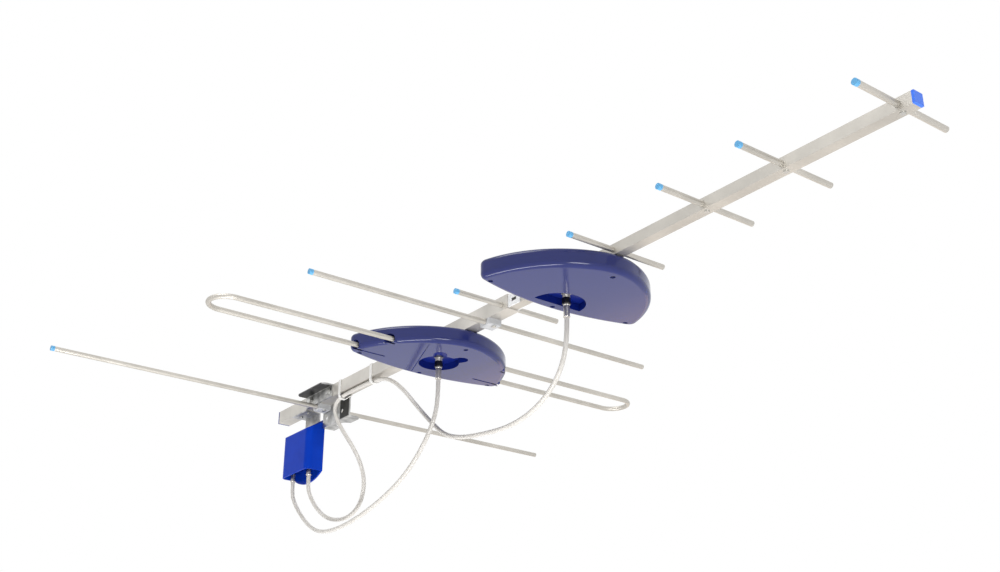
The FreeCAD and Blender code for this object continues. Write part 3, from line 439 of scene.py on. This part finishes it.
SLEEVE_RADIUS = 0.0039
RING_SINK, RING_RISE, RING_WIDTH, RING_INSET = 0.0001, 0.0005, 0.0018, 0.0012
ring_nickel = plated("ring_nickel", (0.78, 0.75, 0.7), smooth=0.15, rough=0.3, spangles=900)
for name in PLUGS:
    low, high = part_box(name)
    centre = ((low[0] + high[0]) / 2, (low[1] + high[1]) / 2)
    for step, level in enumerate((high[2] - NUT_LENGTH - RING_INSET, low[2] + RING_INSET)):
        places = ring(centre, level, SLEEVE_RADIUS - RING_SINK, SLEEVE_RADIUS + RING_RISE, RING_WIDTH)
        surface(f"{name}_ring_{step}", places, ring_nickel)

# The mast clamp and the box bracket: pressed from steel sheet and zinc plated, with broad spangles.
# Two bolts draw the clamp's channels together on the boom; the bracket is an angle screwed under it.
# Some faces in the shelter of the clamp carry painted shade: their colour is scaled darker.


def pressed_zinc(name):
    """Zinc on pressed sheet: broad spangles, some much duller than others."""
    return plated(name, (0.64, 0.64, 0.63), smooth=0.25, rough=0.5, spangles=90, shade=0.45)


dress(pressed_zinc("bracket_zinc"), "box_bracket")
# Painted shade on the backing channel and the mast channel: a darker colour in their sheltered pockets.
BACKING_PAINTED_SHADE = [("Y", -0.0478, 1), ("Z", 0.0095, 1), ("X", 0.024, 1)]
backing_zinc = pressed_zinc("backing_zinc")
shaded(backing_zinc, BACKING_PAINTED_SHADE, dark=0.16)
dress(backing_zinc, "backing_channel")
MAST_PAINTED_SHADE = [("Y", -0.0243, 1), ("X", 0.018, -1), ("X", 0.0445, 1), ("Z", -0.0405, -1)]
mast_zinc = pressed_zinc("mast_channel_zinc")
shaded(mast_zinc, MAST_PAINTED_SHADE, dark=0.1)
dress(mast_zinc, "mast_channel")

# The thread on the free end of each clamp bolt: rolled in the zinc-plated steel.
# It shows on the short length that stands past the nut.

BOLT_RADIUS, BOLT_SPARE = 0.003, 0.003
BOLT_THREAD, BOLT_PITCH = 0.0003, 0.001
bolt_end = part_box("clamp_bolts")[1][1]
thread_zinc = plated("thread_zinc", BRIGHT_ZINC, smooth=0.22, rough=0.4, spangles=500)
low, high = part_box("clamp_nuts")
corner = (high[2] - low[2]) / 2 / math.cos(math.pi / 6)
for step, x in enumerate((low[0] + corner, high[0] - corner)):
    places = thread((x, bolt_end - BOLT_SPARE, (low[2] + high[2]) / 2), 1, BOLT_SPARE,
                    BOLT_RADIUS, BOLT_THREAD, BOLT_PITCH)
    surface(f"clamp_bolt_thread_{step}", places, thread_zinc)

# The combiner box: a cover on a back plate, moulded in saturated blue plastic with a satin skin.
# Screws close it, its bracket carries it from behind, and its sockets face downwards.

BOX_SHEEN = 0.08
box_plastic = moulded("box_plastic", dark=(0.001, 0.034, 0.39), light=(0.002, 0.041, 0.45), roughness=0.35)
box_plastic.node_tree.nodes["Principled BSDF"].inputs["Specular IOR Level"].default_value = BOX_SHEEN
dress(box_plastic, "box_cover", "box_backplate")

# The straps that hold the long lead to the boom: narrow bands of white nylon.
# Each is moulded with a square lock, pulled tight round boom and lead, and cut off.

dress(moulded("strap_nylon", dark=(0.72, 0.72, 0.71), light=(0.8, 0.8, 0.79), roughness=0.38), "lead_ties")

# The two coaxial leads: round white sheath, screwed to the casings and the box by their plugs.
# The long one is strapped under the boom, folds back beside the clamp and hangs in a loop.
# The points of their lines are in millimetres.

SHEATH_DIAMETER = 0.0061
UHF_LEAD = (
    (574, -35, -56), (574, -35, -80), (562, -33, -114), (532, -29, -139), (490, -25, -154),
    (440, -22, -159), (385, -20, -154), (336, -20, -147), (297, -20, -134), (266, -21, -109),
    (232, -24, -76), (206, -28, -47), (178, -33, -23), (152, -37.5, -14.6), (122, -39.5, -13.5),
    (90, -40, -13.3), (58, -39.8, -13.6), (35, -40, -16.5), (28, -41, -31), (39, -42, -49),
    (58, -42, -72), (86, -40, -102), (108, -38, -132), (119, -36, -162), (109, -34, -190),
    (84, -34, -205), (48, -34, -206), (10, -35, -195), (-22, -35, -173), (-42, -35, -152),
    (-51.5, -35, -135), (-51.5, -35, -116))
VHF_LEAD = (
    (300, -35, -57.5), (300, -35, -83), (297, -37, -110), (284, -41, -139), (262, -45, -166),
    (232, -48, -188), (193, -48, -202), (147, -48, -214), (96, -47, -221.5), (49, -45, -222.5),
    (10, -43, -217.5), (-25, -40, -204), (-55, -37, -185), (-78, -35.5, -166), (-93, -35, -150),
    (-101.5, -35, -135.5), (-101.5, -35, -116))

sheath, nodes, links, shader = finish("lead_sheath", (0.64, 0.62, 0.59), roughness=0.2, metallic=0)
tint(nodes, links, grain(nodes, links, EVEN, size=60), (0.57, 0.55, 0.52), (0.65, 0.63, 0.6), shader)
relief(nodes, links, grain(nodes, links, EVEN, size=400), depth=0.000003, shader=shader)


def lead(name, points):
    """A round sheath swept along one smooth line that the control points pull into shape."""
    curve = bpy.data.curves.new(name, "CURVE")
    curve.dimensions = "3D"
    line = curve.splines.new("NURBS")
    line.points.add(len(points) - 1)
    places = np.column_stack([np.array(points) / 1000, np.ones(len(points))])
    line.points.foreach_set("co", places.ravel())
    line.order_u = 3
    line.use_endpoint_u = True
    line.resolution_u = 12
    curve.bevel_depth = SHEATH_DIAMETER / 2
    curve.bevel_resolution = 6
    curve.use_fill_caps = True
    curve.materials.append(sheath)
    piece = bpy.data.objects.new(f"{name}_sheath", curve)
    bpy.context.scene.collection.objects.link(piece)
    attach(piece, "root")
    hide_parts(name)


lead("uhf_lead", UHF_LEAD)
lead("vhf_lead", VHF_LEAD)

# The setting: a wide pale floor well below that fades to white, a white surround and soft lamps.
# Eye, metal and glass see the surround as plain white; the light on the antenna comes from a soft sky.


def shown(nodes, links):
    """One for a ray from the camera, or one that a shiny or clear surface sends on, else nought."""
    ray = nodes.new("ShaderNodeLightPath")
    seen = ray.outputs["Is Camera Ray"]
    for kind in ("Is Glossy Ray", "Is Transmission Ray"):
        either = nodes.new("ShaderNodeMath")
        either.operation = "MAXIMUM"
        links.new(seen, either.inputs[0])
        links.new(ray.outputs[kind], either.inputs[1])
        seen = either.outputs["Value"]
    return seen


FLOOR_LEVEL, FLOOR_HALF = -1.2, 6.0
floor_mesh = bpy.data.meshes.new("floor")
floor_mesh.from_pydata([(-FLOOR_HALF, -FLOOR_HALF, FLOOR_LEVEL), (FLOOR_HALF, -FLOOR_HALF, FLOOR_LEVEL),
                        (FLOOR_HALF, FLOOR_HALF, FLOOR_LEVEL), (-FLOOR_HALF, FLOOR_HALF, FLOOR_LEVEL)],
                       [], [(0, 1, 2, 3)])
floor = bpy.data.objects.new("floor", floor_mesh)
bpy.context.scene.collection.objects.link(floor)
FADE_START, FADE_END = 1.25, 2.5
floor_white, nodes, links, shader = finish("floor_white", (0.85, 0.85, 0.85), roughness=0.8, metallic=0)
place = nodes.new("ShaderNodeTexCoord")
reach = nodes.new("ShaderNodeVectorMath")
reach.operation = "LENGTH"
links.new(place.outputs["Object"], reach.inputs[0])
fade = nodes.new("ShaderNodeMapRange")
fade.interpolation_type = "SMOOTHSTEP"
fade.inputs["From Min"].default_value = FADE_START
fade.inputs["From Max"].default_value = FADE_END
links.new(reach.outputs["Value"], fade.inputs["Value"])
share = nodes.new("ShaderNodeMath")
share.operation = "MULTIPLY"
links.new(fade.outputs["Result"], share.inputs[0])
links.new(shown(nodes, links), share.inputs[1])
glow = nodes.new("ShaderNodeEmission")
glow.inputs["Color"].default_value = (1, 1, 1, 1)
glow.inputs["Strength"].default_value = 1
mix = nodes.new("ShaderNodeMixShader")
links.new(share.outputs["Value"], mix.inputs["Fac"])
links.new(shader.outputs["BSDF"], mix.inputs[1])
links.new(glow.outputs["Emission"], mix.inputs[2])
links.new(mix.outputs["Shader"], nodes["Material Output"].inputs["Surface"])
floor_mesh.materials.append(floor_white)
floor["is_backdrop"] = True

SKY_START, SKY_END, SKY_LOW, SKY_HIGH = 0.35, 0.95, 0.26, 1.1
WINDOW_START, WINDOW_GLOW = 0.2, 0.9
world = bpy.data.worlds.new("surround")
bpy.context.scene.world = world
world.use_nodes = True
nodes, links = world.node_tree.nodes, world.node_tree.links
air = nodes["Background"]
air.inputs["Color"].default_value = (1, 0.98, 0.95, 1)
seen = nodes.new("ShaderNodeBackground")
seen.inputs["Color"].default_value = (1, 1, 1, 1)
seen.inputs["Strength"].default_value = 1
mix = nodes.new("ShaderNodeMixShader")
links.new(shown(nodes, links), mix.inputs["Fac"])
links.new(air.outputs["Background"], mix.inputs[1])
links.new(seen.outputs["Background"], mix.inputs[2])
links.new(mix.outputs["Shader"], nodes["World Output"].inputs["Surface"])
way = nodes.new("ShaderNodeTexCoord")
rise = nodes.new("ShaderNodeSeparateXYZ")
links.new(way.outputs["Generated"], rise.inputs["Vector"])
sky = nodes.new("ShaderNodeMapRange")
sky.inputs["From Min"].default_value = SKY_START
sky.inputs["From Max"].default_value = SKY_END
sky.inputs["To Min"].default_value = SKY_LOW
sky.inputs["To Max"].default_value = SKY_HIGH
links.new(rise.outputs["Z"], sky.inputs["Value"])
window = nodes.new("ShaderNodeMapRange")
window.inputs["From Min"].default_value = WINDOW_START
window.inputs["To Max"].default_value = WINDOW_GLOW
links.new(rise.outputs["Y"], window.inputs["Value"])
total = nodes.new("ShaderNodeMath")
links.new(sky.outputs["Result"], total.inputs[0])
links.new(window.outputs["Result"], total.inputs[1])
links.new(total.outputs["Value"], air.inputs["Strength"])


def lamp(name, place, target, size, power, colour=(1, 1, 1)):
    """A soft lamp of a width and a depth at a place, turned to face a target."""
    light = bpy.data.lights.new(name, "AREA")
    light.shape = "RECTANGLE"
    light.size, light.size_y = size
    light.energy = power
    light.color = colour
    thing = bpy.data.objects.new(name, light)
    thing.location = place
    thing.rotation_euler = (Vector(target) - Vector(place)).to_track_quat("-Z", "Y").to_euler()
    bpy.context.scene.collection.objects.link(thing)


MIDDLE = (0.45, 0, 0)
lamp("key", (0.6, -1.6, 2.4), MIDDLE, size=(1.6, 1.6), power=36)
lamp("fill", (2.4, -0.6, -0.9), MIDDLE, size=(0.6, 0.6), power=11)
lamp("bounce", (0.35, -0.4, -1.12), (0.35, -0.4, 0), size=(2, 2), power=2)
lamp("edge", (0.5, -0.4, -1.1), (0.5, -0.4, 0), size=(1.2, 0.12), power=8)
lamp("card", (-1.9, 3.2, -1.15), (-1.9, 3.2, 0), size=(2.6, 2.6), power=16, colour=(1, 0.6, 0.3))

# The camera: below the antenna in front of it, looking up along the boom.
# Its place, direction and lens are fitted to the rod ends, the boom's edges and the casings.

EYE_PLACE = (1.66358, -0.96990, -0.64969)
EYE_DIRECTION = (-0.72634544, 0.55488598, 0.4056154)
camera = bpy.data.cameras.new("camera")
camera.sensor_width = 36
camera.lens = 45.77
camera.clip_start = 0.01
eye = bpy.data.objects.new("camera", camera)
eye.location = EYE_PLACE
eye.rotation_euler = Vector(EYE_DIRECTION).to_track_quat("-Z", "Y").to_euler()
bpy.context.scene.collection.objects.link(eye)
scene = bpy.context.scene
scene.camera = eye
scene.view_settings.view_transform = "Standard"

low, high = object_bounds()
